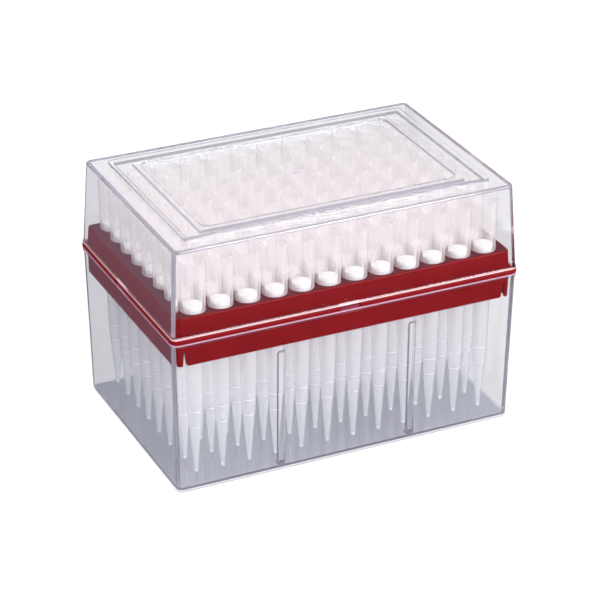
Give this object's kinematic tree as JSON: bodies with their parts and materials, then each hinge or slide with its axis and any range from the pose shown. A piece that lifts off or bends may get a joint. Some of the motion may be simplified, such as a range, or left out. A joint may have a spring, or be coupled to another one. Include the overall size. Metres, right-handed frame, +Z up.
{
  "type": "box of pipette tips",
  "caption": "Clear box with a lift-off lid and a red rack inside that holds a full grid of long translucent filter pipette tips, points down.",
  "frame": {"origin": "middle of the box's footprint, on the surface it stands on", "axes": "+X along the twelve columns, +Y towards the back along the eight rows, +Z up"},
  "size_m": [0.1184, 0.0782, 0.0833],
  "materials": {
    "clear_polystyrene": "clear, polished",
    "red_polypropylene": "satin moulded",
    "natural_polypropylene": "translucent, smooth",
    "porous_polyethylene": "fine porous, matt"
  },
  "bodies": {
    "box": {"base": "clear_polystyrene", "tray": "red_polypropylene", "tips_column_01": "natural_polypropylene", "tips_column_02": "natural_polypropylene", "tips_column_03": "natural_polypropylene", "tips_column_04": "natural_polypropylene", "tips_column_05": "natural_polypropylene", "tips_column_06": "natural_polypropylene", "tips_column_07": "natural_polypropylene", "tips_column_08": "natural_polypropylene", "tips_column_09": "natural_polypropylene", "tips_column_10": "natural_polypropylene", "tips_column_11": "natural_polypropylene", "tips_column_12": "natural_polypropylene", "filters_column_01": "porous_polyethylene", "filters_column_02": "porous_polyethylene", "filters_column_03": "porous_polyethylene", "filters_column_04": "porous_polyethylene", "filters_column_05": "porous_polyethylene", "filters_column_06": "porous_polyethylene", "filters_column_07": "porous_polyethylene", "filters_column_08": "porous_polyethylene", "filters_column_09": "porous_polyethylene", "filters_column_10": "porous_polyethylene", "filters_column_11": "porous_polyethylene", "filters_column_12": "porous_polyethylene"},
    "lid": {"lid": "clear_polystyrene"}
  },
  "joints": [
    {"name": "lid_lift", "type": "slide", "parent": "box", "child": "lid", "axis": [0, 0, 1], "range_m": [0, 0.06]}
  ]
}
